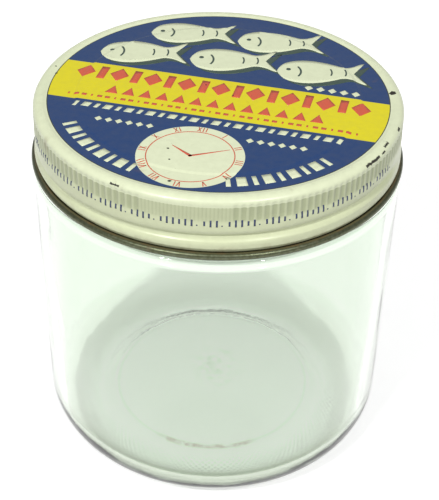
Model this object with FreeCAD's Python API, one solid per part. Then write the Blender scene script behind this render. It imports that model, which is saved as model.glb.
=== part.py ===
"""Wide-mouth glass jar with its pressed tinplate screw lid.

Two pieces in one frame: millimetres, +Z up, origin at the centre of the jar's foot.
The front of the jar is -Y. Heights in the lid are measured from the middle of its rolled edge.
"""
import FreeCAD, Part
import math
import os

# ---- jar: body ----
JAR_HEIGHT = 96.45          # foot to rim
BODY_RADIUS = 45.7          # outside of the straight wall
WALL = 2.6                  # straight wall
HEEL_RADIUS = 11.0          # rounding between wall and foot
# ---- jar: foot ----
BEARING_WIDTH = 1.9         # from the heel to the inner corner of the ring the jar stands on
BEARING_BEND = 8.0          # rounding of that corner
FLOOR_THICKNESS = 3.4       # glass over the bearing ring
FLOOR_BEND = 6.0            # rounding of the floor over that corner
MARK_RADIUS = 26.4          # mould ring round the middle of the foot
MARK_RISE = 2.2             # the foot rises by this from the bearing ring to the mould ring
MARK_STEP = 0.3             # the mould ring's own small step, on the underside
MARK_WIDTH = 0.6
MARK_BEND = 0.3
PUSH_UP = 2.8               # hollow of the foot, from the mould ring to the centre
FLOOR_CROWN = 3.0           # the same on the inside
# ---- jar: shoulder and finish ----
FINISH_HEIGHT = 15.6        # shoulder to rim
FINISH_WALL = 3.05
SHOULDER_BEND = 1.2
SHOULDER_LEDGE = 0.8        # flat of the shoulder
NECK_BEND = 0.65            # fillet between shoulder and finish
BORE_WIDENING = 3.0         # height over which the bore widens to the body
BORE_BEND = 1.5
LIP_OUTER_BEND = 1.5
LIP_INNER_BEND = 0.7
# ---- screw thread, shared by both pieces ----
THREAD_PITCH = 5.08
THREAD_HEIGHT = 1.0         # glass crest above the plain finish
THREAD_WIDTH = 2.2
THREAD_UPPER_END = 200.0    # degrees to the right of the front
THREAD_SWEEP = 420.0        # degrees, running down to the left
THREAD_FADE_RADIUS = 12.0   # the ends curve back into the finish
THREAD_FADE_ANGLE = 32.0
# ---- lid: sheet and panel ----
SHEET = 0.3                 # tinplate
LID_DEPTH = 14.5            # sealing channel above the rolled edge
PANEL_RISE = 0.25           # centre panel and outer ring above the channel
PANEL_STEP = 0.7            # width of each slope of the panel
PANEL_BEND = 0.6
CHANNEL_WIDTH = 6.8
CHANNEL_OVERHANG = 0.1      # channel's flat beyond the rim's land
LID_SHOULDER_BEND = 1.8     # outside of the bend from panel to skirt
# ---- lid: skirt ----
SKIRT_CLEARANCE = 0.5       # glass thread crest to the inside of the skirt
FLUTES = 165
FLUTE_DEPTH = 0.24
FLUTE_BOTTOM = 8.8
GROOVE_RADIUS = 0.8         # hollow side of the rolled thread
GROOVE_DEPTH = 0.85
GROOVE_FRONT_HEIGHT = 4.7
GROOVE_UPPER_END = 60.0     # degrees to the right of the front
GROOVE_SWEEP = 250.0        # degrees, running down to the left
GROOVE_FADE = 12.0          # straight run-out at each end
BEAD_RISE = 0.3             # lower skirt stands proud of the fluted band
BEAD_SHOULDER = 5.0
BEAD_TOP = 3.8
BEAD_BOTTOM = 2.0
BEAD_BEND = 1.5
# ---- lid: rolled edge ----
CREASE_HEIGHT = 0.9         # where the skirt turns in above the rolled edge
CREASE_BEND = 0.6
CURL_RADIUS = 0.9           # outside of the rolled edge
CURL_REACH = 1.15           # rolled edge beyond the fluted band
CURL_TURN = 300.0           # degrees of sheet in the roll

# ---- worked out: jar ----
FINISH_RADIUS = BODY_RADIUS - SHOULDER_BEND - SHOULDER_LEDGE - NECK_BEND
BORE_RADIUS = FINISH_RADIUS - FINISH_WALL
INNER_RADIUS = BODY_RADIUS - WALL
INNER_HEEL_RADIUS = HEEL_RADIUS - WALL
SHOULDER_HEIGHT = JAR_HEIGHT - FINISH_HEIGHT
BEARING_RADIUS = BODY_RADIUS - HEEL_RADIUS - BEARING_WIDTH
MARK_TOP = MARK_RISE + MARK_STEP
FLOOR_MARK = FLOOR_THICKNESS + MARK_RISE
THREAD_CREST = FINISH_RADIUS + THREAD_HEIGHT
# ---- worked out: lid ----
HALF_SHEET = SHEET / 2
SKIRT_RADIUS = THREAD_CREST + SKIRT_CLEARANCE + SHEET
SKIRT_MIDDLE = SKIRT_RADIUS - HALF_SHEET
CURL_HEIGHT = JAR_HEIGHT + SHEET - LID_DEPTH
CHANNEL_MIDDLE = JAR_HEIGHT + HALF_SHEET
CHANNEL_OUTER = FINISH_RADIUS - LIP_OUTER_BEND + CHANNEL_OVERHANG
CHANNEL_INNER = CHANNEL_OUTER - CHANNEL_WIDTH
PANEL_MIDDLE = CHANNEL_MIDDLE + PANEL_RISE
FLUTE_TOP = PANEL_MIDDLE + HALF_SHEET - LID_SHOULDER_BEND
CURL_CENTRE_RADIUS = SKIRT_RADIUS + CURL_REACH - CURL_RADIUS
CURL_MIDDLE_RADIUS = CURL_RADIUS - HALF_SHEET

FULL_TURN = 360.0
HALF_TURN = 180.0
TOUCHING = 1e-6             # points nearer than this are one
FRONT = -90.0               # the front, as an angle about +Z from +X
UP = FreeCAD.Vector(0, 0, 1)
ORIGIN = FreeCAD.Vector(0, 0, 0)


def point(radius, height):
    """A point of a half section, which lies in the XZ plane."""
    return FreeCAD.Vector(radius, 0, height)


def line(start, end):
    return Part.LineSegment(start, end).toShape()


def straight(start, end):
    """The line between two bends, or nothing where they meet."""
    return [line(start, end)] if start.distanceToPoint(end) > TOUCHING else []


def polar(centre, radius, degrees):
    angle = math.radians(degrees)
    return centre + point(radius * math.cos(angle), radius * math.sin(angle))


def arc(centre, radius, start, end):
    """An arc of a half section from one angle to another, in degrees."""
    middle = (start + end) / 2
    ends = (polar(centre, radius, angle) for angle in (start, middle, end))
    return Part.Arc(*ends).toShape()


def direction(start, end):
    return FreeCAD.Vector(end - start).normalize()


def leftward(heading):
    """The direction to the left of a heading in a half section."""
    return point(-heading.z, heading.x)


def rounded(corners, shift=0.0):
    """Edges along a path of corners (radius, height, bend), moved to its left by shift."""
    points = [point(radius, height) for radius, height, bend in corners]
    start = points[0] + leftward(direction(points[0], points[1])) * shift
    edges = []
    for index in range(1, len(points) - 1):
        before = direction(points[index - 1], points[index])
        after = direction(points[index], points[index + 1])
        side = 1.0 if leftward(before).dot(after) > 0 else -1.0
        bend = corners[index][2]
        half_turn = before.getAngle(after) / 2
        trim = bend * math.tan(half_turn)
        centre = points[index] - before * trim + leftward(before) * (bend * side)
        radius = bend - side * shift
        arc_start = centre - leftward(before) * (radius * side)
        arc_end = centre - leftward(after) * (radius * side)
        corner = leftward(before) + leftward(after)
        arc_middle = centre - corner.normalize() * (radius * side)
        edges += straight(start, arc_start)
        edges.append(Part.Arc(arc_start, arc_middle, arc_end).toShape())
        start = arc_end
    end = points[-1] + leftward(direction(points[-2], points[-1])) * shift
    return edges + straight(start, end)


def turned(edges):
    """The solid of revolution of a closed half section."""
    section = Part.Wire(Part.__sortEdges__(edges))
    return Part.Face(section).revolve(ORIGIN, UP, FULL_TURN)


def crown(edge_radius, edge_height, rise):
    """A shallow dome in section, from the axis out to its edge."""
    middle = edge_radius / 2
    sphere = (edge_radius ** 2 + rise ** 2) / (2 * rise)
    centre_height = edge_height + rise - sphere
    middle_height = centre_height + math.sqrt(sphere ** 2 - middle ** 2)
    return Part.Arc(
        point(0, edge_height + rise), point(middle, middle_height), point(edge_radius, edge_height)
    ).toShape()


def bottom_end(upper_end, sweep):
    """The angle about +Z of a thread's lower end."""
    return FRONT + upper_end - sweep


def thread_height(front_height, angle):
    """Height of a thread's middle at an angle about +Z."""
    return front_height + THREAD_PITCH * (angle - FRONT) / FULL_TURN


def coil(path_radius, section_radius, front_height, upper_end, sweep):
    """A round bar wound along a stretch of the screw thread."""
    rise = THREAD_PITCH * sweep / FULL_TURN
    helix = Part.makeHelix(THREAD_PITCH, rise, path_radius)
    ring = Part.Wire(Part.makeCircle(section_radius, point(path_radius, 0), FreeCAD.Vector(0, 1, 0)))
    bar = Part.Wire(helix.Edges).makePipeShell([ring], True, True)
    start = bottom_end(upper_end, sweep)
    bar.rotate(ORIGIN, UP, start)
    bar.translate(UP * thread_height(front_height, start))
    return bar


def end_disc(path_radius, section_radius, front_height, angle):
    """The bar's round end at an angle about +Z."""
    circle = Part.makeCircle(section_radius, point(path_radius, 0), FreeCAD.Vector(0, 1, 0))
    disc = Part.Face(Part.Wire(circle))
    disc.rotate(ORIGIN, UP, angle)
    disc.translate(UP * thread_height(front_height, angle))
    return disc


def both_ends(upper_end, sweep):
    """Each end's angle about +Z, and the way the thread runs out there."""
    return (FRONT + upper_end, 1.0), (bottom_end(upper_end, sweep), -1.0)


def outward(angle):
    return FreeCAD.Vector(math.cos(math.radians(angle)), math.sin(math.radians(angle)), 0)


def glass_thread():
    """The raised thread of the finish, whose ends curve back into the glass."""
    section_radius = THREAD_WIDTH / 2
    path_radius = THREAD_CREST - section_radius
    front_height = CURL_HEIGHT + GROOVE_FRONT_HEIGHT + THREAD_PITCH / 2
    pieces = [coil(path_radius, section_radius, front_height, THREAD_UPPER_END, THREAD_SWEEP)]
    for angle, way in both_ends(THREAD_UPPER_END, THREAD_SWEEP):
        disc = end_disc(path_radius, section_radius, front_height, angle)
        pivot = outward(angle) * (path_radius - THREAD_FADE_RADIUS)
        pieces.append(disc.revolve(pivot, UP * way, THREAD_FADE_ANGLE))
    return pieces


def rolled_bar(section_radius):
    """The path of the lid's rolled thread, running out through the skirt at both ends."""
    path_radius = SKIRT_RADIUS - GROOVE_DEPTH + GROOVE_RADIUS
    front_height = CURL_HEIGHT + GROOVE_FRONT_HEIGHT
    pieces = [coil(path_radius, section_radius, front_height, GROOVE_UPPER_END, GROOVE_SWEEP)]
    for angle, way in both_ends(GROOVE_UPPER_END, GROOVE_SWEEP):
        disc = end_disc(path_radius, section_radius, front_height, angle)
        along = UP.cross(outward(angle)) * way
        pieces.append(disc.extrude(along * GROOVE_FADE))
    return pieces[0].fuse(pieces[1:])


def jar():
    """Blown glass body: rounded heel, pushed-up foot, shoulder and threaded finish."""
    bore_end = SHOULDER_HEIGHT - NECK_BEND
    outline = [
        (MARK_RADIUS, MARK_TOP, 0),
        (MARK_RADIUS + MARK_WIDTH, MARK_RISE, MARK_BEND),
        (BEARING_RADIUS, 0, BEARING_BEND),
        (BODY_RADIUS, 0, HEEL_RADIUS),
        (BODY_RADIUS, SHOULDER_HEIGHT, SHOULDER_BEND),
        (FINISH_RADIUS, SHOULDER_HEIGHT, NECK_BEND),
        (FINISH_RADIUS, JAR_HEIGHT, LIP_OUTER_BEND),
        (BORE_RADIUS, JAR_HEIGHT, LIP_INNER_BEND),
        (BORE_RADIUS, bore_end, BORE_BEND),
        (INNER_RADIUS, bore_end - BORE_WIDENING, BORE_BEND),
        (INNER_RADIUS, FLOOR_THICKNESS, INNER_HEEL_RADIUS),
        (BEARING_RADIUS, FLOOR_THICKNESS, FLOOR_BEND),
        (MARK_RADIUS, FLOOR_MARK, 0),
    ]
    edges = rounded(outline)
    edges.append(crown(MARK_RADIUS, MARK_TOP, PUSH_UP))
    edges.append(crown(MARK_RADIUS, FLOOR_MARK, FLOOR_CROWN))
    edges.append(line(point(0, MARK_TOP + PUSH_UP), point(0, FLOOR_MARK + FLOOR_CROWN)))
    return turned(edges).fuse(glass_thread())


def sheet_of(corners, roll=()):
    """A turned sheet whose mid thickness runs along corners, and ends in a roll if one is given."""
    near = rounded(corners, HALF_SHEET)
    far = rounded(corners, -HALF_SHEET)
    start = line(near[0].Vertexes[0].Point, far[0].Vertexes[0].Point)
    end = roll or [line(near[-1].Vertexes[-1].Point, far[-1].Vertexes[-1].Point)]
    return turned(near + far + [start, *end])


def curl():
    """The roll at the skirt's edge, outward and up, as its edges in section."""
    centre = point(CURL_CENTRE_RADIUS, CURL_HEIGHT)
    end_angle = HALF_TURN + CURL_TURN
    hollow = CURL_RADIUS - SHEET
    return [
        arc(centre, hollow, HALF_TURN, end_angle),
        arc(centre, CURL_RADIUS, HALF_TURN, end_angle),
        line(polar(centre, hollow, end_angle), polar(centre, CURL_RADIUS, end_angle)),
    ]


def panel():
    """Top of the lid: centre panel, sealing channel, outer ring and the bend to the skirt."""
    corners = [
        (0, PANEL_MIDDLE, 0),
        (CHANNEL_INNER - PANEL_STEP, PANEL_MIDDLE, PANEL_BEND),
        (CHANNEL_INNER, CHANNEL_MIDDLE, PANEL_BEND),
        (CHANNEL_OUTER, CHANNEL_MIDDLE, PANEL_BEND),
        (CHANNEL_OUTER + PANEL_STEP, PANEL_MIDDLE, PANEL_BEND),
        (SKIRT_MIDDLE, PANEL_MIDDLE, LID_SHOULDER_BEND - HALF_SHEET),
        (SKIRT_MIDDLE, FLUTE_TOP, 0),
    ]
    return sheet_of(corners)


def fluted_band():
    """Upright grip flutes round the skirt, pressed through the sheet."""
    bottom = CURL_HEIGHT + FLUTE_BOTTOM
    pitch = FULL_TURN / FLUTES

    def scallops(ridge):
        edges = []
        for index in range(FLUTES):
            angles = (index * pitch, (index + 0.5) * pitch, (index + 1) * pitch)
            radii = (ridge, ridge - FLUTE_DEPTH, ridge)
            points = (outward(angle) * radius for angle, radius in zip(angles, radii))
            edges.append(Part.Arc(*points).toShape())
        return Part.Wire(edges)

    faces = Part.Compound([scallops(SKIRT_RADIUS), scallops(SKIRT_RADIUS - SHEET)])
    ring = Part.makeFace(faces, "Part::FaceMakerBullseye")
    ring.translate(UP * bottom)
    return ring.extrude(UP * (FLUTE_TOP - bottom))


def lower_skirt():
    """Plain skirt with its proud bead, crease and rolled edge."""
    roll_start = CURL_CENTRE_RADIUS - CURL_MIDDLE_RADIUS
    corners = [
        (SKIRT_MIDDLE, CURL_HEIGHT + FLUTE_BOTTOM, 0),
        (SKIRT_MIDDLE, CURL_HEIGHT + BEAD_SHOULDER, BEAD_BEND),
        (SKIRT_MIDDLE + BEAD_RISE, CURL_HEIGHT + BEAD_TOP, BEAD_BEND),
        (SKIRT_MIDDLE + BEAD_RISE, CURL_HEIGHT + BEAD_BOTTOM, CREASE_BEND),
        (roll_start, CURL_HEIGHT + CREASE_HEIGHT, CREASE_BEND),
        (roll_start, CURL_HEIGHT, 0),
    ]
    return sheet_of(corners, curl())


def lid():
    """One pressed sheet: panel, fluted band and lower skirt, with its thread rolled in."""
    skirt = panel().fuse([fluted_band(), lower_skirt()])
    within = Part.makeCylinder(SKIRT_RADIUS, LID_DEPTH, ORIGIN + UP * CURL_HEIGHT)
    rib = rolled_bar(GROOVE_RADIUS + SHEET).common(within)
    return skirt.fuse(rib).cut(rolled_bar(GROOVE_RADIUS))


def whole(shape):
    """The shape as its one solid, with faces that lie in one surface joined."""
    solids = shape.removeSplitter().Solids
    if len(solids) != 1:
        raise ValueError("a piece came out as %d solids" % len(solids))
    return solids[0]


def main():
    os.makedirs("parts", exist_ok=True)
    for name, shape in (("jar", jar()), ("lid", lid())):
        solid = whole(shape)
        solid.exportStep("parts/%s.step" % name)
        print(name, "valid", solid.isValid(), "cm3", round(solid.Volume / 1000, 2))


main()
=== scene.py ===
import math

import bmesh
import bpy
from bpy.props import FloatProperty, FloatVectorProperty, IntProperty, PointerProperty
from mathutils import Matrix, Vector


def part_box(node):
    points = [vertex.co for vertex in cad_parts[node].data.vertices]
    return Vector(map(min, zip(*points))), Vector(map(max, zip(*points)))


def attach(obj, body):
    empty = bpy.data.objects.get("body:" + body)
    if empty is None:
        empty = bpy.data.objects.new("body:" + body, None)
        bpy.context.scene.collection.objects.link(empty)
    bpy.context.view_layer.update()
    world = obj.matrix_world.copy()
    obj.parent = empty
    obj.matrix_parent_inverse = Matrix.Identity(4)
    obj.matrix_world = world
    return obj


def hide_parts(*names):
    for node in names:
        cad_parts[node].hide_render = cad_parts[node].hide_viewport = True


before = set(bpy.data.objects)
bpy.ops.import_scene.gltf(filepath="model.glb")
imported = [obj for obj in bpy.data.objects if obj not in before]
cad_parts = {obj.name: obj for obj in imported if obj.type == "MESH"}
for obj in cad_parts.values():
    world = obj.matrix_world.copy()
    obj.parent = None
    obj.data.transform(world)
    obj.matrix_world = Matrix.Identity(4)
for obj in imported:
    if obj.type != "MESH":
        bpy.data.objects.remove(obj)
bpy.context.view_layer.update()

bl_info = {
    "name": "Preserve Jar",
    "version": (1, 0, 0),
    "blender": (4, 5, 0),
    "location": "3D View > Sidebar > Preserve Jar",
    "description": "A wide-mouth glass jar with a printed tinplate lid, made to fit its packed frame",
    "category": "Add Mesh",
}

MM = 0.001
BODY = "root"
FULL_TURN = 2 * math.pi
UP = Vector((0, 0, 1))
ORIGIN = Vector((0, 0, 0))
JAR_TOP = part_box("jar")[1]
LID_FOOT, LID_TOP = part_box("lid")
ARC_STEP = math.radians(12)      # one segment of a rounded corner
SAME_POINT = 0.002 * MM
NOISE_ROUGHNESS = 0.55


# ---------------------------------------------------------------- sizes and colours

def length(name, description, millimetres):
    metres = millimetres * MM
    return FloatProperty(name=name, description=description, default=metres, unit="LENGTH", precision=5)


def angle(name, description, degrees):
    return FloatProperty(name=name, description=description, default=math.radians(degrees), unit="ROTATION")


def colour(name, description, red, green, blue):
    """A colour as it looks on screen, from 0 to 255."""
    return FloatVectorProperty(
        name=name, description=description, subtype="COLOR_GAMMA", size=3, min=0, max=1,
        default=(red / 255, green / 255, blue / 255),
    )


class JarSizes(bpy.types.PropertyGroup):
    """The blown glass body."""
    height: FloatProperty(name="Height", description="Foot to rim", default=JAR_TOP.z, unit="LENGTH")
    radius: FloatProperty(name="Radius", description="Outside of the wall", default=JAR_TOP.x, unit="LENGTH")
    wall: length("Wall", "Thickness of the straight wall", 2.6)
    heel: length("Heel", "Rounding between wall and foot", 11.0)
    bearing: length("Bearing ring", "From the heel to the inner corner of the ring the jar stands on", 1.9)
    floor: length("Floor", "Glass over the bearing ring", 3.4)
    mark: length("Mould ring", "Radius of the ring round the middle of the foot", 26.4)
    mark_rise: length("Mould ring rise", "From the bearing ring up to the mould ring", 2.2)
    mark_step: length("Mould ring step", "Its own small step on the underside", 0.3)
    push_up: length("Push-up", "Hollow of the foot inside the mould ring", 2.8)
    floor_crown: length("Floor crown", "Rise of the floor inside the mould ring", 3.0)
    finish_height: length("Finish height", "Shoulder to rim", 15.6)
    finish_wall: length("Finish wall", "Thickness of the threaded finish", 3.05)
    shoulder: length("Shoulder", "Rounding of the shoulder", 1.2)
    ledge: length("Shoulder ledge", "Flat of the shoulder", 0.8)
    neck: length("Neck fillet", "Fillet between shoulder and finish", 0.65)
    thread_height: length("Thread height", "Crest above the finish", 1.0)
    thread_width: length("Thread width", "Width of the glass thread", 2.2)
    sides: IntProperty(name="Sides", description="Segments round the jar", default=192, min=48)


class LidSizes(bpy.types.PropertyGroup):
    """The pressed tinplate lid. Heights are above the middle of its rolled edge."""
    sheet: length("Sheet", "Thickness of the tinplate", 0.3)
    depth: length("Depth", "Rolled edge to the sealing channel", 14.5)
    panel_rise: length("Panel rise", "Centre panel above the sealing channel", 0.25)
    skirt: length("Skirt radius", "Outside of the fluted band", 44.85)
    channel_outer: length("Channel outer radius", "Sealing channel, outer edge", 41.65)
    channel_inner: length("Channel inner radius", "Sealing channel, inner edge", 34.85)
    panel_step: length("Panel step", "Width of each slope of the panel", 0.7)
    shoulder: length("Shoulder bend", "Outside bend from panel to skirt", 1.8)
    flutes: IntProperty(name="Flutes", description="Grip flutes round the skirt", default=165)
    flute_depth: length("Flute depth", "How deep the flutes are pressed", 0.3)
    flute_bottom: length("Flute bottom", "Lower end of the flutes", 8.9)
    flute_top: length("Flute top", "Upper end of the flutes", 13.5)
    groove_depth: length("Thread depth", "How deep the thread is rolled in", 0.8)
    groove_front: length("Thread height", "Height of the rolled thread at the front", 4.7)
    pitch: length("Thread pitch", "Rise of the thread in one turn", 5.08)
    bead_rise: length("Bead rise", "Lower skirt proud of the fluted band", 0.3)
    crease: length("Crease height", "Where the skirt turns in above the rolled edge", 0.9)
    curl: length("Roll radius", "Outside of the rolled edge", 0.9)
    curl_reach: length("Roll reach", "Rolled edge beyond the fluted band", 1.15)


class PrintSizes(bpy.types.PropertyGroup):
    """The printed top, in the lid's own plane."""
    turn: angle("Print turn", "How far the print is turned against the jar's front", -13.3)
    field: length("Field radius", "Edge of the printed disc", 41.3)
    band_top: length("Band top", "Upper edge of the yellow band, from the centre", 6.55)
    band_bottom: length("Band bottom", "Lower edge of the yellow band", -11.1)
    dial_x: length("Dial x", "Middle of the dial", 0.4)
    dial_y: length("Dial y", "Middle of the dial", -28.2)
    dial: length("Dial radius", "Cream disc of the dial", 12.3)
    dial_ring: length("Ring radius", "Thin ring inside the numerals", 10.0)


class Colours(bpy.types.PropertyGroup):
    """Glass, lacquer, inks and metal."""
    cream: colour("Cream lacquer", "Rim and figures", 226, 233, 198)
    # painted shade: the upright skirt's cream is a darker copy of the top's cream
    skirt: colour("Skirt lacquer", "Cream of the skirt, dulled by shading", 218, 225, 186)
    # painted shade in the hollows of the grip flutes
    valley_shade: colour("Flute valleys", "Shading between the grip flutes", 176, 184, 146)
    blue: colour("Blue ink", "Upper and lower fields", 28, 62, 113)
    yellow: colour("Yellow ink", "Band across the middle", 228, 216, 20)
    red: colour("Red ink", "Figures on the band and marks of the dial", 214, 92, 66)
    shade: colour("Shadow ink", "Shadow of the figures", 62, 82, 74)
    crease: colour("Crease", "Brown line over the rolled edge", 84, 80, 52)
    navy: colour("Navy ink", "Ticks round the skirt", 46, 62, 98)
    edge: colour("Field outline", "Thin dark line round each field", 52, 58, 52)
    steel: colour("Bare tinplate", "Rolled edge, inside and chips", 78, 82, 58)
    rust: colour("Rust", "Specks and stains", 118, 88, 56)
    glass: colour("Glass", "Tint of the glass", 245, 252, 243)
    thick: colour("Thick glass", "Tint of the foot outside the mould ring", 222, 232, 218)
    # painted shade along the heel's outer edge, darkest in front
    heel_edge_shade: colour("Heel edge", "Tint of the heel's outer edge", 178, 190, 168)


# ---------------------------------------------------------------- shader maths

class Value:
    """A number in a material. Maths on it adds Math nodes."""

    def __init__(self, finish, socket):
        self.finish = finish
        self.socket = socket

    def __add__(self, other):
        return self.finish.maths("ADD", self, other)

    def __sub__(self, other):
        return self.finish.maths("SUBTRACT", self, other)

    def __rsub__(self, other):
        return self.finish.maths("SUBTRACT", other, self)

    def __mul__(self, other):
        return self.finish.maths("MULTIPLY", self, other)

    def __truediv__(self, other):
        return self.finish.maths("DIVIDE", self, other)

    def __pow__(self, other):
        return self.finish.maths("POWER", self, other)

    def __neg__(self):
        return self.finish.maths("MULTIPLY", self, -1)

    def __abs__(self):
        return self.finish.maths("ABSOLUTE", self)

    __radd__ = __add__
    __rmul__ = __mul__


class Finish:
    """A material being built, with the coordinates that its patterns read, in millimetres."""

    def __init__(self, name):
        self.material = bpy.data.materials.new(name)
        self.material.use_nodes = True
        self.tree = self.material.node_tree
        self.tree.nodes.clear()
        place = self.node("ShaderNodeTexCoord", output="Object")
        self.millimetres = self.node(
            "ShaderNodeVectorMath", {"operation": "MULTIPLY"}, {0: place, 1: (1 / MM,) * 3})
        parts = self.node("ShaderNodeSeparateXYZ", {}, {0: self.millimetres}, output=None)
        self.x, self.y, self.z = (Value(self, parts.outputs[index]) for index in range(3))

    def node(self, kind, settings=None, sockets=None, output=0):
        """Adds a node, sets it up, fills its sockets, and returns one output or the node itself."""
        node = self.tree.nodes.new(kind)
        for name, setting in (settings or {}).items():
            setattr(node, name, setting)
        for key, value in (sockets or {}).items():
            self.plug(self.socket(node, key), value)
        return node if output is None else Value(self, node.outputs[output])

    @staticmethod
    def socket(node, key):
        """An input by its number, its identifier or its name."""
        if isinstance(key, int):
            return node.inputs[key]
        named = [socket for socket in node.inputs if socket.identifier == key]
        return named[0] if named else node.inputs[key]

    def plug(self, socket, value):
        if isinstance(value, Value):
            self.tree.links.new(value.socket, socket)
        else:
            socket.default_value = value

    def maths(self, operation, *terms, clamp=False):
        sockets = dict(enumerate(terms))
        return self.node("ShaderNodeMath", {"operation": operation, "use_clamp": clamp}, sockets)

    def inside(self, distance, softness=0.06):
        """1 where a distance is negative, 0 where it is positive, with a soft edge."""
        return self.maths("MULTIPLY_ADD", distance, -1 / softness, 0.5, clamp=True)

    def either(self, *masks):
        """The larger of several masks."""
        union = masks[0]
        for mask in masks[1:]:
            union = self.maths("MAXIMUM", union, mask)
        return union

    def hypot(self, across, along):
        return (across * across + along * along) ** 0.5

    def degrees(self):
        """Degrees round the axis from the front, positive to the right."""
        return self.maths("ARCTAN2", self.x, -self.y) * math.degrees(1)

    def blend(self, mask, under, over):
        """One colour laid over another through a mask."""
        sockets = {"Factor_Float": mask, "A_Color": under, "B_Color": over}
        node = self.node("ShaderNodeMix", {"data_type": "RGBA"}, sockets, output=None)
        result = [socket for socket in node.outputs if socket.identifier == "Result_Color"]
        return Value(self, result[0])

    def noise(self, scale, detail=3.0, stretch=(1, 1, 1)):
        """Soft noise, about 0.5 on average; scale is in features per millimetre."""
        where = self.node(
            "ShaderNodeVectorMath", {"operation": "MULTIPLY"}, {0: self.millimetres, 1: stretch})
        sockets = {"Vector": where, "Scale": scale, "Detail": detail, "Roughness": NOISE_ROUGHNESS}
        return self.node("ShaderNodeTexNoise", {"noise_dimensions": "3D"}, sockets)

    def rise(self, value, low, high):
        """A straight ramp from 0 at low to 1 at high."""
        sockets = {"Value": value, "From Min": low, "From Max": high}
        return self.node("ShaderNodeMapRange", {"clamp": True}, sockets)

    def bump(self, strength, distance, height):
        """Relief that is distance deep where height goes from 0 to 1."""
        return self.node("ShaderNodeBump", {}, {"Strength": strength, "Distance": distance, "Height": height})

    def principled(self, **sockets):
        """Makes the Principled shader, the surface of the finished material, and returns the material."""
        named = {name.replace("_", " "): value for name, value in sockets.items()}
        shader = self.node("ShaderNodeBsdfPrincipled", {}, named)
        self.node("ShaderNodeOutputMaterial", {}, {"Surface": shader}, output=None)
        return self.material


def paint(swatch):
    """A property's screen colour as the linear colour a node takes."""
    linear = [part / 12.92 if part <= 0.04045 else ((part + 0.055) / 1.055) ** 2.4 for part in swatch]
    return (*linear, 1.0)


# ---------------------------------------------------------------- shaping helpers

def new_piece(name, mesh, replaces=None, materials=()):
    """Turns a finished bmesh into a piece of the object that rides on its body."""
    data = bpy.data.meshes.new(name)
    mesh.to_mesh(data)
    mesh.free()
    piece = bpy.data.objects.new(name, data)
    bpy.context.scene.collection.objects.link(piece)
    for material in materials:
        data.materials.append(material)
    for face in data.polygons:
        face.use_smooth = True
    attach(piece, BODY)
    if replaces:
        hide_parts(replaces)
    return piece


def section(mesh, corners):
    """A wire through corners (radius, height, bend) of a half section, with its bends rounded."""
    verts = [mesh.verts.new((radius, 0, height)) for radius, height, bend in corners]
    for pair in zip(verts, verts[1:]):
        mesh.edges.new(pair)
    for vert, (radius, height, bend) in zip(verts, corners):
        if bend:
            before, after = (edge.other_vert(vert).co - vert.co for edge in vert.link_edges)
            turn = math.pi - before.angle(after)
            bmesh.ops.bevel(
                mesh, geom=[vert, *vert.link_edges], offset=bend * math.tan(turn / 2),
                offset_type="OFFSET", segments=max(2, round(turn / ARC_STEP)), profile=0.5,
                affect="VERTICES", material=-1)
    bmesh.ops.remove_doubles(mesh, verts=mesh.verts, dist=SAME_POINT)


def divide(mesh, low, high, cuts, outside=0.0):
    """Cuts the long upright edges between two heights and beyond a radius."""
    chosen = []
    for edge in mesh.edges:
        first, last = (vert.co for vert in edge.verts)
        middle = (first + last) / 2
        upright = abs(first.z - last.z) > abs(first.x - last.x)
        if upright and low < middle.z < high and middle.x > outside:
            chosen.append(edge)
    for edge in chosen:
        share = abs(edge.verts[0].co.z - edge.verts[1].co.z) / (high - low)
        count = round(cuts * share) - 1
        if count > 0:
            bmesh.ops.subdivide_edges(mesh, edges=[edge], cuts=count)


def turn_solid(mesh, steps):
    """Spins a half section round the axis, closes its poles and turns its faces outwards."""
    bmesh.ops.spin(
        mesh, geom=mesh.verts[:] + mesh.edges[:], cent=ORIGIN, axis=UP, dvec=ORIGIN,
        angle=FULL_TURN, steps=steps, use_merge=True, use_duplicate=False)
    bmesh.ops.remove_doubles(mesh, verts=mesh.verts, dist=SAME_POINT)
    bmesh.ops.recalc_face_normals(mesh, faces=mesh.faces)


def smooth(value, low, high):
    """0 below low, 1 above high, and a smooth ramp between."""
    share = min(max((value - low) / (high - low), 0), 1)
    return share * share * (3 - 2 * share)


def bearing(point):
    """Degrees round the axis from the front, positive to the right."""
    return math.degrees(math.atan2(point.x, -point.y))


def push_out(point, distance):
    """Moves a point away from the axis."""
    radius = math.hypot(point.x, point.y)
    point.x *= 1 + distance / radius
    point.y *= 1 + distance / radius


def on_thread(point, front_height, pitch, upper_end, lower_end, fade):
    """How far a point is above the nearest turn of a thread, and how fully formed the thread is there."""
    best = (1.0, 0.0)
    for turn in (-2, -1, 0, 1):
        degrees = bearing(point) + 360 * turn
        offset = point.z - front_height - pitch * degrees / 360
        formed = smooth(degrees, lower_end - fade, lower_end)
        formed *= 1 - smooth(degrees, upper_end, upper_end + fade)
        if formed > 0 and abs(offset) < abs(best[0]):
            best = (offset, formed)
    return best


# ---------------------------------------------------------------- glass

THREAD_ENDS = (200.0, -220.0)    # degrees from the front
THREAD_FADE = 15.0
RIM_BEND = 1.5 * MM
THREAD_ROWS = 46                 # rows of faces up the finish
DOME_ROWS = 12                   # rings of faces in the foot's dome
HAZE_TINT = (0.5, 0.56, 0.45, 1)
RING_TINT = (0.5, 0.55, 0.48, 1)
DEPOSIT_TINT = (0.30, 0.20, 0.08, 1)


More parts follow.
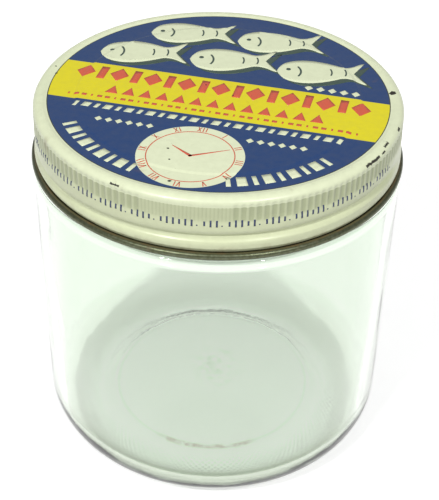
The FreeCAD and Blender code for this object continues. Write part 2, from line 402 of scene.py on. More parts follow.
def glass_finish(colours, sizes):
    """Clear glass, a little rippled, with a dusty floor and brown deposits on the mould ring."""
    finish = Finish("Pale green glass")
    x, y, z = finish.x, finish.y, finish.z
    radius = finish.hypot(x, y)
    from_mark = abs(radius - sizes.mark / MM)
    underside = finish.inside(z - 4)

    # the heel is thick, and painted shade darkens its outer edge, most in front
    heel = finish.rise(radius, 32, 36) * finish.inside(z - 6, 2)
    heel_edge_shade = finish.rise(radius, 35, 39) * finish.inside(z - 12, 4)
    heel_edge_shade = heel_edge_shade * (finish.inside(y + 10, 30) * 0.75 + 0.25)

    # rows of fine stippling round the front of the foot
    rows = finish.maths("SINE", radius * 4.4) * finish.maths("SINE", finish.maths("ARCTAN2", x, -y) * 130)
    stipple = finish.rise(rows, -0.1, 0.5) * finish.rise(radius, 30, 33) * finish.rise(radius, 41, 38)
    stipple = stipple * underside * finish.inside(y + 10 - x * 0.3, 16)

    # dust on the floor, smears on the wall, and a cloudy spot low on the left
    floor_level = finish.inside(z - 9)
    smear = finish.rise(finish.noise(0.12, 5.0), 0.62, 0.78)
    cloudy = finish.inside(finish.hypot((x + 17) / 6, (z - 15) / 6) - 1, 0.8) * finish.inside(y, 4)
    dust = finish.inside(radius - 12, 16) * finish.rise(finish.noise(0.25, 5.0), 0.35, 0.65) * floor_level
    roughness = smear * 0.05 + (cloudy + dust) * finish.noise(0.5, 4.0) * 0.12
    smudge = finish.inside(finish.hypot(x - 1, y - 1) - 6, 7) * finish.rise(finish.noise(0.4, 5.0), 0.5, 0.66)
    haze = stipple * 0.3 + smudge * finish.inside(z - 9.5) * 0.35

    # brown deposit along the front of the mould ring
    ring = finish.inside(from_mark - 0.3, 0.3) * underside
    deposit = finish.inside(from_mark - 0.6, 0.6) * underside
    deposit = deposit * finish.inside(abs(x + 1) - 12, 4) * finish.inside(y, 4)
    deposit = deposit * finish.rise(finish.noise(0.5, 6.0), 0.36, 0.6)

    tint = finish.blend(heel * 0.5, paint(colours.glass), paint(colours.thick))
    # painted shade laid along the heel's outer edge
    tint = finish.blend(heel_edge_shade * 0.8, tint, paint(colours.heel_edge_shade))
    tint = finish.blend(haze, tint, HAZE_TINT)
    tint = finish.blend(ring * 0.25, tint, RING_TINT)
    tint = finish.blend(deposit * 0.7, tint, DEPOSIT_TINT)
    ripple = finish.noise(0.05, 2.0, (1, 1, 0.5)) + finish.noise(0.5, 2.0) * 0.03
    return finish.principled(
        Base_Color=tint, Transmission_Weight=1.0, IOR=1.5, Roughness=roughness,
        Normal=finish.bump(0.25, 0.9 * MM, ripple))


def glass_jar(sizes, lid):
    """The jar's section, spun, with its domes and the raised thread."""
    shoulder = sizes.height - sizes.finish_height
    finish_radius = sizes.radius - sizes.shoulder - sizes.ledge - sizes.neck
    bore = finish_radius - sizes.finish_wall
    inner = sizes.radius - sizes.wall
    stand = sizes.radius - sizes.heel - sizes.bearing
    bore_end = shoulder - sizes.neck
    mark_top = sizes.mark_rise + sizes.mark_step
    floor_mark = sizes.floor + sizes.mark_rise
    mesh = bmesh.new()
    section(mesh, [
        (0, mark_top, 0),
        (sizes.mark, mark_top, 0),
        (sizes.mark + 1.4 * MM, sizes.mark_rise, 0.8 * MM),
        (stand, 0, 8 * MM),
        (sizes.radius, 0, sizes.heel),
        (sizes.radius, shoulder, sizes.shoulder),
        (finish_radius, shoulder, sizes.neck),
        (finish_radius, sizes.height, RIM_BEND),
        (bore, sizes.height, 0.7 * MM),
        (bore, bore_end, 1.5 * MM),
        (inner, bore_end - 3 * MM, 1.5 * MM),
        (inner, sizes.floor, sizes.heel - sizes.wall),
        (stand, sizes.floor, 6 * MM),
        (sizes.mark, floor_mark, 0),
        (0, floor_mark, 0),
    ])
    flats = [edge for edge in mesh.edges if max(vert.co.x for vert in edge.verts) <= sizes.mark + SAME_POINT]
    bmesh.ops.subdivide_edges(mesh, edges=flats, cuts=DOME_ROWS)
    for vert in mesh.verts:
        if vert.co.x < sizes.mark - SAME_POINT:
            under = vert.co.z < (mark_top + floor_mark) / 2
            crown = sizes.push_up if under else sizes.floor_crown
            vert.co.z += crown * (1 - (vert.co.x / sizes.mark) ** 2)
    low, high = shoulder + sizes.neck, sizes.height - RIM_BEND
    divide(mesh, low, high, THREAD_ROWS, outside=finish_radius - SAME_POINT)
    turn_solid(mesh, sizes.sides)
    front_height = LID_FOOT.z + lid.curl + lid.groove_front + lid.pitch / 2
    half = sizes.thread_width / 2
    for vert in mesh.verts:
        on_finish = abs(math.hypot(vert.co.x, vert.co.y) - finish_radius) < SAME_POINT
        if on_finish and low < vert.co.z < high:
            offset, formed = on_thread(vert.co, front_height, lid.pitch, *THREAD_ENDS, THREAD_FADE)
            if abs(offset) < half:
                push_out(vert.co, formed * sizes.thread_height * math.sqrt(1 - (offset / half) ** 2))
    bmesh.ops.recalc_face_normals(mesh, faces=mesh.faces)
    return mesh


# ---------------------------------------------------------------- lid

GROOVE_ENDS = (60.0, -190.0)     # degrees from the front
GROOVE_FADE = 14.0
FLUTE_STEPS = 6                  # segments in one flute
DOUBLE_FLUTES = (-22.0, 4.5)     # degrees: the grip roll overlaps its start here
CURL_TURN = math.radians(300)
CURL_STEPS = (7, 12)             # segments of the curl's inner and outer face
FLUTE_ROWS = 6                   # rows of faces down the fluted band
GROOVE_ROWS = 10                 # and down the threaded one
GROOVE_HALF = 1.3 * MM
BARE = 1                         # material slot of the bare metal


def parallel(corners, distance):
    """A cornered path moved to its left, mitred at its corners, with bends that keep their centres."""
    points = [Vector((radius, height)) for radius, height, bend in corners]
    ways = [(end - start).normalized() for start, end in zip(points, points[1:])]
    moved = []
    for index, (point, corner) in enumerate(zip(points, corners)):
        before = ways[max(index - 1, 0)]
        after = ways[min(index, len(ways) - 1)]
        left = Vector((-before.y - after.y, before.x + after.x))
        left *= 2 / left.length_squared
        turn = before.x * after.y - before.y * after.x
        bend = corner[2] - math.copysign(distance, turn) if corner[2] else 0
        place = point + left * distance
        moved.append((place.x, place.y, max(bend, 0)))
    return moved


def lid_path(lid):
    """The lid's middle line from the axis to the start of its rolled edge."""
    zero = LID_FOOT.z + lid.curl
    half = lid.sheet / 2
    channel = zero + lid.depth - half
    top = channel + lid.panel_rise
    skirt = lid.skirt - half
    roll = lid.skirt + lid.curl_reach - 2 * lid.curl + half
    bend = 0.6 * MM
    return [
        (0, top, 0),
        (lid.channel_inner - lid.panel_step, top, bend),
        (lid.channel_inner, channel, bend),
        (lid.channel_outer, channel, bend),
        (lid.channel_outer + lid.panel_step, top, bend),
        (skirt, top, lid.shoulder - half),
        (skirt, zero + 5.0 * MM, 1.5 * MM),
        (skirt + lid.bead_rise, zero + 3.8 * MM, 1.5 * MM),
        (skirt + lid.bead_rise, zero + 2.0 * MM, bend),
        (roll, zero + lid.crease, bend),
        (roll, zero, 0),
    ]


def roll_edge(mesh, start, centre, steps):
    """Rolls one face of the sheet round the curl and returns its last point."""
    rolled = bmesh.ops.spin(
        mesh, geom=[start], cent=centre, axis=(0, -1, 0), dvec=ORIGIN, angle=CURL_TURN, steps=steps,
        use_merge=False, use_duplicate=False)
    return [item for item in rolled["geom_last"] if isinstance(item, bmesh.types.BMVert)][0]


def flute(lid, degrees, height):
    """Depth of the flutes at a place on the skirt."""
    zero = LID_FOOT.z + lid.curl
    formed = smooth(height, zero + lid.flute_bottom - 0.5 * MM, zero + lid.flute_bottom + 0.9 * MM)
    formed *= 1 - smooth(height, zero + lid.flute_top - 0.5 * MM, zero + lid.flute_top + 0.5 * MM)
    if formed == 0:
        return 0
    doubled = DOUBLE_FLUTES[0] < degrees < DOUBLE_FLUTES[1]
    share = (degrees / 360 * lid.flutes * (2 if doubled else 1)) % 1
    return formed * lid.flute_depth * (0.55 if doubled else 1) * (1 - (2 * share - 1) ** 2)


def pressed_lid(lid):
    """The lid's sheet in section, spun, then fluted and threaded through both its faces."""
    zero = LID_FOOT.z + lid.curl
    path = lid_path(lid)
    half = lid.sheet / 2
    mesh = bmesh.new()
    ends = []
    for distance in (half, -half):
        corners = parallel(path, distance)
        section(mesh, corners)
        last = Vector((corners[-1][0], 0, corners[-1][1]))
        ends.append(min(mesh.verts, key=lambda vert: (vert.co - last).length))
    centre = Vector((path[-1][0] + lid.curl - half, 0, zero))
    tips = [roll_edge(mesh, end, centre, steps) for end, steps in zip(ends, CURL_STEPS)]
    mesh.edges.new(tips)
    outside = lid.skirt - half
    divide(mesh, zero + lid.flute_bottom - 0.7 * MM, zero + lid.flute_top, FLUTE_ROWS, outside)
    divide(mesh, zero + 0.9 * MM, zero + 7.2 * MM, GROOVE_ROWS, outside)
    turn_solid(mesh, lid.flutes * FLUTE_STEPS)
    for vert in mesh.verts:
        on_skirt = zero + lid.crease <= vert.co.z <= zero + lid.depth - 0.9 * MM
        if not on_skirt or math.hypot(vert.co.x, vert.co.y) < lid.skirt - MM:
            continue
        push_out(vert.co, -flute(lid, bearing(vert.co), vert.co.z))
        offset, formed = on_thread(vert.co, zero + lid.groove_front, lid.pitch, *GROOVE_ENDS, GROOVE_FADE)
        if abs(offset) < GROOVE_HALF:
            shape = (1 + math.cos(math.pi * offset / GROOVE_HALF)) / 2
            push_out(vert.co, -formed * lid.groove_depth * shape)
    return mesh


def mark_bare_faces(piece, lid):
    """Gives the inside of the lid and its rolled edge the bare metal."""
    zero = LID_FOOT.z + lid.curl
    for face in piece.data.polygons:
        centre = face.center
        radius = math.hypot(centre.x, centre.y)
        rolled = centre.z < zero + lid.crease - 0.1 * MM
        underneath = centre.z > zero + lid.depth - 2 * MM and face.normal.z < -0.3
        inwards = face.normal.x * centre.x + face.normal.y * centre.y < -0.5 * radius
        if rolled or underneath or (inwards and centre.z < zero + lid.depth - 0.6 * MM):
            face.material_index = BARE


# ---------------------------------------------------------------- finishes of the lid

SPOTS = (                        # x, y and radius of dark specks on the top, in millimetres
    (42.3, 2.3, 0.8), (-40.3, 8.7, 0.3), (-40.8, 11.8, 0.25), (-11.2, -24.7, 0.3),
    (-10.7, -29.2, 0.25), (-10.3, -37.3, 0.4), (3.4, -0.6, 0.25), (-3.2, 4.1, 0.25),
)
STREAKS = (                      # start and end bearing, height above the roll, half width
    (48.5, 55.5, 14.1, 0.24), (57.0, 59.0, 14.1, 0.14), (60.0, 63.0, 14.55, 0.12),
    (71.0, 73.0, 14.2, 0.2), (-31.5, -28.5, 14.0, 0.18),
)
GRIME = (0.16, 0.15, 0.10, 1)
CHIPPED = (0.03, 0.028, 0.02, 1)
DULL_TIN = (0.20, 0.22, 0.15, 1)
GLOSS = 0.22


def height_over_roll(finish, lid):
    """Millimetres above the middle of the rolled edge."""
    return finish.z - (LID_FOOT.z + lid.curl) / MM


def wear(finish, lid):
    """Masks of what has happened to the lacquer: bare chips, and brown stains."""
    height = height_over_roll(finish, lid)
    outside = finish.rise(finish.hypot(finish.x, finish.y), 42.2, 42.8)
    degrees = finish.degrees()
    ragged = finish.noise(1.6, 4.0) * 1.2 - 0.6
    chips = finish.inside(finish.noise(0.9, 3.0) - 0.228, 0.02) * 0.8
    for x, y, radius in SPOTS:
        away = finish.hypot(finish.x - x, finish.y - y) + ragged * radius * 1.3
        spot = finish.inside(away - radius, 0.15) * finish.inside(14 - height, 1)
        chips = finish.either(chips, spot)
    one_degree = math.radians(1) * lid.skirt / MM
    for start, end, level, half in STREAKS:
        along = abs(degrees - (start + end) / 2) * one_degree - (end - start) / 2 * one_degree
        across = abs(height - level) - half
        away = finish.either(along, across) + ragged * half * 2.2
        chips = finish.either(chips, finish.inside(away, 0.1) * outside)
    low = finish.rise(height, 3.4, 0.6) * finish.rise(finish.noise(0.35, 5.0), 0.48, 0.72)
    smear = finish.inside(abs(degrees + 61.8) - 1.2, 1.2) * finish.inside(abs(height - 12.6) - 1.5, 1.5)
    clouds = finish.rise(finish.noise(0.22, 6.0), 0.66, 0.8)
    return chips, finish.either(low, smear * outside * 0.7, clouds * 0.4)


def lacquered(finish, lid, colours, colour):
    """Finishes a printed colour: mottled, stained, and chipped through to the metal."""
    chips, stains = wear(finish, lid)
    mottle = finish.rise(finish.noise(0.6, 6.0), 0.75, 0.3)
    worn = finish.blend(mottle * 0.10, colour, GRIME)
    worn = finish.blend(stains * 0.55, worn, paint(colours.rust))
    worn = finish.blend(chips, worn, CHIPPED)
    return finish.principled(
        Base_Color=worn, Roughness=finish.noise(0.4, 5.0) * 0.2 + (GLOSS + chips * 0.3), IOR=1.45,
        Normal=finish.bump(0.35, 0.05 * MM, finish.noise(1.1, 3.0) - chips * 2))


def printed_lacquer(colours, lid, prints):
    """Cream lacquer with the blue disc, its yellow band and the dial printed on the top."""
    finish = Finish("Printed lacquer")
    turn = prints.turn
    across = finish.x * math.cos(turn) + finish.y * math.sin(turn)
    along = finish.y * math.cos(turn) - finish.x * math.sin(turn)
    radius = finish.hypot(finish.x, finish.y)
    from_edge = radius - prints.field / MM
    disc = finish.inside(from_edge)
    middle = (prints.band_top + prints.band_bottom) / 2 / MM
    half_band = (prints.band_top - prints.band_bottom) / 2 / MM
    band = finish.inside(abs(along - middle) - half_band)
    from_dial = finish.hypot(across - prints.dial_x / MM, along - prints.dial_y / MM)
    cream = paint(colours.cream)
    top = finish.blend(disc, cream, paint(colours.blue))
    top = finish.blend(disc * band, top, paint(colours.yellow))
    top = finish.blend(finish.inside(abs(from_edge) - 0.12), top, paint(colours.edge))
    top = finish.blend(finish.inside(from_dial - prints.dial / MM), top, cream)

    height = height_over_roll(finish, lid)
    # painted shade: the skirt is a darker cream than the top, its fluted band darker still, and its flute
    # valleys darkest
    fluted = finish.rise(height, 8.6, 9.4) * finish.rise(height, 14.0, 13.2)
    valley_shade = finish.rise(radius, lid.skirt / MM - 0.04, lid.skirt / MM - 0.22) * fluted
    crease = finish.inside(height - lid.crease / MM - 0.06, 0.12)
    skirt = finish.blend(fluted * 0.25, paint(colours.skirt), paint(colours.valley_shade))
    skirt = finish.blend(valley_shade * 0.9, skirt, paint(colours.valley_shade))
    skirt = finish.blend(crease, skirt, paint(colours.crease))
    on_top = finish.inside((LID_TOP.z - 2 * MM) / MM - finish.z)
    return lacquered(finish, lid, colours, finish.blend(on_top, skirt, top))


def ink(name, swatch, colours, lid):
    """A plain printed colour, made once and shared."""
    made = bpy.data.materials.get(name)
    return made or lacquered(Finish(name), lid, colours, paint(swatch))


def bare_tin(colours):
    """Dull tinplate, darker and rusty in patches."""
    finish = Finish("Bare tinplate")
    rust = finish.rise(finish.noise(0.5, 6.0), 0.6, 0.78)
    dull = finish.rise(finish.noise(1.5, 4.0), 0.3, 0.7)
    colour = finish.blend(dull * 0.5, paint(colours.steel), DULL_TIN)
    colour = finish.blend(rust * 0.4, colour, paint(colours.rust))
    return finish.principled(
        Base_Color=colour, Metallic=0.85 - rust * 0.7, Roughness=rust * 0.3 + 0.38,
        Normal=finish.bump(0.4, 0.05 * MM, finish.noise(2.0, 4.0)))


# ---------------------------------------------------------------- printed figures

INK_SINK = 0.02 * MM             # how far figures reach into the lacquer
FIRST_COAT, SECOND_COAT, THIRD_COAT = 0.03 * MM, 0.06 * MM, 0.09 * MM


def patch(mesh, cells_along, cells_across, place):
    """A grid whose corners go where place(a, b) says, for a and b from -1 to 1."""
    made = bmesh.ops.create_grid(mesh, x_segments=cells_along, y_segments=cells_across, size=1)
    for vert in made["verts"]:
        vert.co = Vector((*place(vert.co.x, vert.co.y), 0))


def bar(mesh, x, y, width, height, lean=0.0):
    """An upright bar, or one that leans."""
    patch(mesh, 2, 4, lambda a, b: (x + a * width / 2 + b * lean, y + b * height / 2))


def lozenge(mesh, x, y, width, height):
    """A diamond standing on its point."""
    patch(mesh, 4, 6, lambda a, b: (x + a * (1 - abs(b)) * width / 2, y + b * height / 2))


def arrowhead(mesh, x, y, width, height):
    """A triangle that points up."""
    patch(mesh, 4, 6, lambda a, b: (x + a * (1 - b) * width / 4, y + b * height / 2))


def arc_bar(mesh, centre, degrees, half_angle, inner, outer, cells=4):
    """A bar bent round a centre; degrees run clockwise from the top."""
    def place(a, b):
        turned = math.radians(degrees + a * half_angle)
        radius = (inner + outer) / 2 + b * (outer - inner) / 2
        return centre[0] + radius * math.sin(turned), centre[1] + radius * math.cos(turned)
    patch(mesh, cells, 3, place)


def panel_height(lid, radius):
    """Height of the lid's top over its sealing channel's floor."""
    inner = min(max((lid.channel_inner - radius) / lid.panel_step, 0), 1)
    outer = min(max((radius - lid.channel_outer) / lid.panel_step, 0), 1)
    return LID_FOOT.z + lid.curl + lid.depth + lid.panel_rise * max(inner, outer)


def lay_on_top(mesh, lid, prints, coat):
    """Turns flat figures to the print's own angle, lays them over the panel and closes their edges."""
    bmesh.ops.remove_doubles(mesh, verts=mesh.verts, dist=SAME_POINT)
    bmesh.ops.rotate(mesh, verts=mesh.verts, cent=ORIGIN, matrix=Matrix.Rotation(prints.turn, 3, "Z"))
    step_start = lid.channel_inner - lid.panel_step - 0.1 * MM
    step_end = lid.channel_inner + 0.1 * MM
    for halving in range(2):
        near_step = []
        for edge in mesh.edges:
            radii = [math.hypot(vert.co.x, vert.co.y) for vert in edge.verts]
            crossing = min(radii) < step_end and max(radii) > step_start
            if crossing and edge.calc_length() > 0.3 * MM:
                near_step.append(edge)
        bmesh.ops.subdivide_edges(mesh, edges=near_step, cuts=1, use_grid_fill=True)
    for vert in mesh.verts:
        vert.co.z = panel_height(lid, math.hypot(vert.co.x, vert.co.y)) + coat
    close_coat(mesh, lambda vert: -UP, coat + INK_SINK)


def close_coat(mesh, inwards, depth):
    """Gives an open sheet of ink its thickness, inwards from its face."""
    under = bmesh.ops.extrude_face_region(mesh, geom=mesh.faces[:], use_keep_orig=True)
    for vert in under["geom"]:
        if isinstance(vert, bmesh.types.BMVert):
            vert.co += inwards(vert) * depth
    bmesh.ops.recalc_face_normals(mesh, faces=mesh.faces)


def towards_axis(vert):
    """The way inwards from a point of the skirt."""
    return -Vector((vert.co.x, vert.co.y, 0)).normalized()


FISH = ((-14.5, 28.5), (8.5, 29.5), (-24.0, 15.0), (-1.0, 17.0), (21.5, 17.0))    # middles, in millimetres
FISH_LENGTH = 21.0 * MM
FISH_HEIGHT = 9.6 * MM
FISH_LEAN = math.radians(12)
FISH_SHADOW = (1.6 * MM, -1.2 * MM)


def fish_point(a, b):
    """Outline of a plain fish, nose to the left, for a and b from -1 to 1, one unit long."""
    share = (a + 1) / 2
    body = math.sin(math.pi * min(share / 0.9, 1) ** 0.72) ** 0.8 if share < 0.9 else 0
    tail = smooth(share, 0.74, 1.0)
    half = 0.5 * body * (1 - tail) + 0.09 * smooth(share, 0, 0.1) + 0.46 * tail
    fork = 0.14 * tail * (abs(b) - 0.6)
    return share - 0.5 + fork, b * half


def fish_shoal(mesh, offset=(0, 0)):
    """All the fish, or their shadows where they are offset."""
    turned = Matrix.Rotation(FISH_LEAN, 2)
    for x, y in FISH:
        def place(a, b, x=x, y=y):
            along, across = fish_point(a, b)
            point = turned @ Vector((along * FISH_LENGTH, across * FISH_HEIGHT))
            return x * MM + point.x + offset[0], y * MM + point.y + offset[1]
        patch(mesh, 40, 8, place)


def fish_details(mesh):
    """Eye, gill line and two stripes on each fish."""
    turned = Matrix.Rotation(FISH_LEAN, 2)
    facing = 90 - math.degrees(FISH_LEAN)
    for x, y in FISH:
        middle = Vector((x * MM, y * MM))
        eye = middle + turned @ Vector((-0.36 * FISH_LENGTH, 0.10 * FISH_HEIGHT))
        bmesh.ops.create_circle(
            mesh, cap_ends=True, segments=16, radius=0.6 * MM, matrix=Matrix.Translation((eye.x, eye.y, 0)))
        for share, half_angle, outer in ((-0.42, 34, 4.6), (-0.05, 22, 4.5), (0.12, 22, 4.5)):
            line = middle + turned @ Vector((share * FISH_LENGTH, 0))
            arc_bar(mesh, line, facing, half_angle, 4.1 * MM, outer * MM, cells=8)


def band_figures(mesh):
    """Red ornament on the yellow band: lozenges and bars, arrowheads, and a fine dashed line."""
    for slot in range(-8, 9):
        x = slot * 4.3 * MM
        if slot % 2:
            bar(mesh, x, 2.2 * MM, 2.0 * MM, 5.8 * MM)
        else:
            lozenge(mesh, x, 2.2 * MM, 4.8 * MM, 6.2 * MM)
    for slot in range(-6, 7):
        arrowhead(mesh, slot * 4.2 * MM, -4.9 * MM, 3.2 * MM, 3.6 * MM)
    for slot in range(-18, 19):
        bar(mesh, slot * 1.95 * MM, -8.9 * MM, (1.2 if slot % 3 else 0.4) * MM, 0.9 * MM)


def fine_rules(mesh):
    """Cream ornament on the blue fields."""
    for slot in range(5):
        lozenge(mesh, (20.5 + slot * 2.9) * MM, 8.7 * MM, 2.2 * MM, 2.4 * MM)
    for slot in range(-12, 13):
        bar(mesh, slot * 2.65 * MM, -13.2 * MM, (1.9 if slot % 2 else 1.0) * MM, 1.9 * MM, 0.25 * MM)
    for side in (-1, 1):
        for slot in range(6):
            lozenge(mesh, side * (11.9 + slot * 2.5) * MM, -18.6 * MM, 1.9 * MM, 2.0 * MM)
        for slot in range(9):
            degrees = 180 + side * (17 + slot * 4.6)
            width = 1.75 if slot % 2 else 0.8
            arc_bar(mesh, (0, 0), degrees, width, 35.7 * MM, 39.1 * MM)


def dial_figures(mesh, prints):
    """The dial's thin ring, its hour marks and its two hands."""
    centre = Vector((prints.dial_x, prints.dial_y))
    ring = prints.dial_ring
    for step in range(48):
        arc_bar(mesh, centre, step * 7.5, 3.75, ring - 0.12 * MM, ring + 0.12 * MM, cells=2)
    numerals = ("XII", "I", "II", "III", "IV", "V", "VI", "VII", "VIII", "IX", "X", "XI")
    for hour, numeral in enumerate(numerals):
        roman(mesh, numeral, centre, math.radians(hour * 30), ring + 0.35 * MM, 1.75 * MM)
    hand(mesh, centre, -58, 6.0 * MM, 0.42 * MM)
    hand(mesh, centre, 60, 9.3 * MM, 0.32 * MM)


def hand(mesh, centre, degrees, reach, width):
    """A tapered hand; degrees run clockwise from the top."""
    turned = Matrix.Rotation(-math.radians(degrees), 2)

    def place(a, b):
        point = turned @ Vector((a * width / 2 * (1.2 - b * 0.8), (b + 0.9) / 1.9 * reach))
        return centre.x + point.x, centre.y + point.y
    patch(mesh, 2, 12, place)


STROKES = {                      # where each stroke of a letter starts at its foot and ends at its top
    "I": ((0, 0),),
    "V": ((0, -0.32), (0, 0.32)),
    "X": ((0.32, -0.32), (-0.32, 0.32)),
}
ADVANCE = {"I": 0.62, "V": 1.0, "X": 1.0}
STROKE_HALF = 0.10


def roman(mesh, numeral, centre, turn, foot, height):
    """A Roman numeral standing outwards on a circle, made of straight strokes."""
    scale = height / 1.5
    turned = Matrix.Rotation(-turn, 2)
    width = sum(ADVANCE[letter] for letter in numeral) * scale
    x = -width / 2
    for letter in numeral:
        x += ADVANCE[letter] * scale / 2
        for low, high in STROKES[letter]:
            def place(a, b, x=x, low=low, high=high):
                lean = (low + high) / 2 + b * (high - low) / 2
                point = turned @ Vector((x + (lean + a * STROKE_HALF) * scale, foot + (b + 1) / 2 * height))
                return centre.x + point.x, centre.y + point.y
            patch(mesh, 1, 4, place)
        x += ADVANCE[letter] * scale / 2


TICK_GROUPS = (9, 7, 4, 5, 4, 6, 3, 5, 4, 6, 5, 4, 5)
TICK_START = -75.0               # degrees from the front
TICK_PITCH = 1.75


def skirt_ticks(mesh, lid):
    """A row of small upright strokes, in groups with a dot after each, just under the flutes."""
    zero = LID_FOOT.z + lid.curl
    degrees = TICK_START
    for group in TICK_GROUPS:
        for tick in range(group):
            tall = 1.7 if tick % 3 else 1.2
            tick_patch(mesh, lid, degrees, zero + 8.6 * MM, 0.42 * MM, tall * MM)
            degrees += TICK_PITCH
        tick_patch(mesh, lid, degrees - 0.3, zero + 8.1 * MM, 0.3 * MM, 0.3 * MM)
        degrees += TICK_PITCH


def tick_patch(mesh, lid, degrees, height, width, tall):
    """One stroke on the skirt, bent round it and into its flutes."""
    made = bmesh.ops.create_grid(mesh, x_segments=2, y_segments=5, size=1)
    for vert in made["verts"]:
        turned = degrees + math.degrees(vert.co.x * width / 2 / lid.skirt)
        z = height + vert.co.y * tall / 2
        radius = lid.skirt + FIRST_COAT - flute(lid, turned, z)
        round_axis = math.radians(turned)
        vert.co = Vector((radius * math.sin(round_axis), -radius * math.cos(round_axis), z))


# ---------------------------------------------------------------- stage

YAW, PITCH, ROLL = 0.0043, 0.6575, 0.0248
CAMERA_BACK = 0.2528
CAMERA_RISE = 0.14745            # over the lid
LENS = 86.4                      # millimetres
LIGHTS = (
    ("Left light", 10.2, (-0.52, -0.8, 1.1)),
    ("Right light", 7.0, (0.52, -0.8, 1.1)),
)
LIGHT_SIDE = 0.12
LIGHT_AIM = Vector((0, 0, 0.05))
ROOM_STRENGTH = 0.38
FLOOR_HALF = 2.0
FLOOR_DROP = 0.05 * MM           # keeps the floor clear of the foot's flat faces


def floor_finish():
    """A white table lit softly from below."""
    return Finish("Pale floor").principled(
        Base_Color=(0.75, 0.75, 0.75, 1), Roughness=0.8, Emission_Color=(1, 1, 1, 1), Emission_Strength=0.55)


def soft_light(name, power, place):
    """A small square light that faces the object."""
    light = bpy.data.lights.new(name, "AREA")
    light.shape = "RECTANGLE"
    light.size = light.size_y = LIGHT_SIDE
    light.energy = power
    lamp = bpy.data.objects.new(name, light)
    lamp.location = place
    lamp.rotation_euler = (LIGHT_AIM - Vector(place)).to_track_quat("-Z", "Y").to_euler()
    bpy.context.scene.collection.objects.link(lamp)


def camera_matrix():
    """Where the camera stands, and how it is turned."""
    forward = Vector((math.sin(YAW) * math.cos(PITCH), math.cos(YAW) * math.cos(PITCH), -math.sin(PITCH)))
    right = Vector((math.cos(YAW), -math.sin(YAW), 0))
    upward = right.cross(forward)
    level = Matrix((right, upward, -forward)).transposed()
    turned = level @ Matrix.Rotation(ROLL, 3, "Z")
    return Matrix.Translation((0, -CAMERA_BACK, LID_TOP.z + CAMERA_RISE)) @ turned.to_4x4()


# ---------------------------------------------------------------- operators

class JAR_OT_glass(bpy.types.Operator):
    """Blows the glass jar with its threaded finish"""
    bl_idname = "preserve_jar.glass"
    bl_label = "Glass jar"

    def execute(self, context):
        scene = context.scene
        mesh = glass_jar(scene.jar_sizes, scene.lid_sizes)
        glass = glass_finish(scene.jar_colours, scene.jar_sizes)
        new_piece("glass_jar", mesh, "jar", [glass])
        return {"FINISHED"}


class JAR_OT_lid(bpy.types.Operator):
    """Presses the tinplate lid with its flutes, rolled thread and rolled edge"""
    bl_idname = "preserve_jar.lid"
    bl_label = "Pressed lid"

    def execute(self, context):
        scene = context.scene
        lid = scene.lid_sizes
        materials = [printed_lacquer(scene.jar_colours, lid, scene.print_sizes), bare_tin(scene.jar_colours)]
        piece = new_piece("pressed_lid", pressed_lid(lid), "lid", materials)
        mark_bare_faces(piece, lid)
        return {"FINISHED"}


def print_piece(context, name, draw, ink_name, swatch, coat=FIRST_COAT):
    """A flat printed figure as a piece on the lid."""
    scene = context.scene
    mesh = bmesh.new()
    draw(mesh)
    lay_on_top(mesh, scene.lid_sizes, scene.print_sizes, coat)
    new_piece(name, mesh, None, [ink(ink_name, swatch, scene.jar_colours, scene.lid_sizes)])


class JAR_OT_shoal(bpy.types.Operator):
    """Prints the shoal of fish with its shadow"""
    bl_idname = "preserve_jar.shoal"
    bl_label = "Printed fish"

    def execute(self, context):
        cream = context.scene.jar_colours.cream
        shade = context.scene.jar_colours.shade
        print_piece(context, "fish_shadows", lambda mesh: fish_shoal(mesh, FISH_SHADOW), "Shadow ink", shade)
        print_piece(context, "fish", fish_shoal, "Cream ink", cream, SECOND_COAT)
        print_piece(context, "fish_details", fish_details, "Shadow ink", shade, THIRD_COAT)
        return {"FINISHED"}


class JAR_OT_band(bpy.types.Operator):
    """Prints the red ornament on the yellow band"""
    bl_idname = "preserve_jar.band"
    bl_label = "Band ornament"

    def execute(self, context):
        print_piece(context, "band_figures", band_figures, "Red ink", context.scene.jar_colours.red)
        return {"FINISHED"}


class JAR_OT_rules(bpy.types.Operator):
    """Prints the cream ornament on the lower field"""
    bl_idname = "preserve_jar.rules"
    bl_label = "Fine ornament"

    def execute(self, context):
        print_piece(context, "fine_rules", fine_rules, "Cream ink", context.scene.jar_colours.cream)
        return {"FINISHED"}


class JAR_OT_dial(bpy.types.Operator):
    """Prints the dial's ring, numerals and hands"""
    bl_idname = "preserve_jar.dial"
    bl_label = "Dial"

    def execute(self, context):
        red = context.scene.jar_colours.red
        prints = context.scene.print_sizes
        print_piece(context, "dial_marks", lambda mesh: dial_figures(mesh, prints), "Red ink", red)
        return {"FINISHED"}


class JAR_OT_ticks(bpy.types.Operator):
    """Prints the row of small strokes round the skirt"""
    bl_idname = "preserve_jar.ticks"
    bl_label = "Skirt strokes"

    def execute(self, context):
        scene = context.scene
        mesh = bmesh.new()
        skirt_ticks(mesh, scene.lid_sizes)
        close_coat(mesh, towards_axis, FIRST_COAT + INK_SINK)
        navy = ink("Navy ink", scene.jar_colours.navy, scene.jar_colours, scene.lid_sizes)
        new_piece("skirt_strokes", mesh, None, [navy])
        return {"FINISHED"}


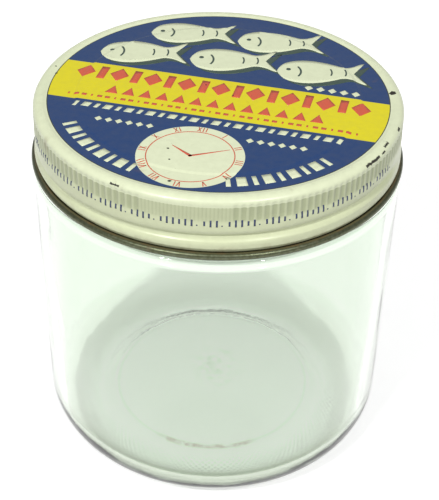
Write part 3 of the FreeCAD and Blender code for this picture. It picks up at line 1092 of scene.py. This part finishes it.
class JAR_OT_stage(bpy.types.Operator):
    """Sets up the pale floor, the soft light and the camera"""
    bl_idname = "preserve_jar.stage"
    bl_label = "Stage"

    def execute(self, context):
        scene = context.scene
        mesh = bmesh.new()
        under_foot = Matrix.Translation((0, 0, -FLOOR_DROP))
        bmesh.ops.create_grid(mesh, x_segments=1, y_segments=1, size=FLOOR_HALF, matrix=under_foot)
        data = bpy.data.meshes.new("floor")
        mesh.to_mesh(data)
        mesh.free()
        floor = bpy.data.objects.new("floor", data)
        floor.data.materials.append(floor_finish())
        floor.visible_diffuse = False
        scene.collection.objects.link(floor)
        for name, power, place in LIGHTS:
            soft_light(name, power, place)
        world = bpy.data.worlds.new("Soft room")
        world.use_nodes = True
        background = world.node_tree.nodes["Background"]
        background.inputs["Color"].default_value = (1, 1, 1, 1)
        background.inputs["Strength"].default_value = ROOM_STRENGTH
        scene.world = world
        lens = bpy.data.cameras.new("Camera")
        lens.lens = LENS
        lens.clip_start = 0.01
        camera = bpy.data.objects.new("Camera", lens)
        camera.matrix_world = camera_matrix()
        scene.collection.objects.link(camera)
        scene.camera = camera
        scene.view_settings.view_transform = "Standard"
        return {"FINISHED"}


class JAR_PT_panel(bpy.types.Panel):
    """Lists the steps and the sizes"""
    bl_idname = "JAR_PT_panel"
    bl_label = "Preserve Jar"
    bl_space_type = "VIEW_3D"
    bl_region_type = "UI"
    bl_category = "Preserve Jar"

    def draw(self, context):
        for step in STEPS:
            self.layout.operator(step.bl_idname)
        for name in GROUPS:
            group = getattr(context.scene, name)
            for prop in group.bl_rna.properties:
                if not prop.is_readonly and prop.identifier != "name":
                    self.layout.prop(group, prop.identifier)


GROUPS = {
    "jar_sizes": JarSizes,
    "lid_sizes": LidSizes,
    "print_sizes": PrintSizes,
    "jar_colours": Colours,
}
STEPS = (
    JAR_OT_stage,
    JAR_OT_glass,
    JAR_OT_lid,
    JAR_OT_shoal,
    JAR_OT_band,
    JAR_OT_rules,
    JAR_OT_dial,
    JAR_OT_ticks,
)


def register():
    for group in GROUPS.values():
        bpy.utils.register_class(group)
    for step in STEPS:
        bpy.utils.register_class(step)
    bpy.utils.register_class(JAR_PT_panel)
    for name, group in GROUPS.items():
        setattr(bpy.types.Scene, name, PointerProperty(type=group))


def unregister():
    for name in GROUPS:
        delattr(bpy.types.Scene, name)
    for item in (JAR_PT_panel, *STEPS, *GROUPS.values()):
        bpy.utils.unregister_class(item)


def main():
    register()
    bpy.ops.preserve_jar.stage()
    bpy.ops.preserve_jar.glass()
    bpy.ops.preserve_jar.lid()
    bpy.ops.preserve_jar.shoal()
    bpy.ops.preserve_jar.band()
    bpy.ops.preserve_jar.rules()
    bpy.ops.preserve_jar.dial()
    bpy.ops.preserve_jar.ticks()


if __name__ == "__main__":
    main()
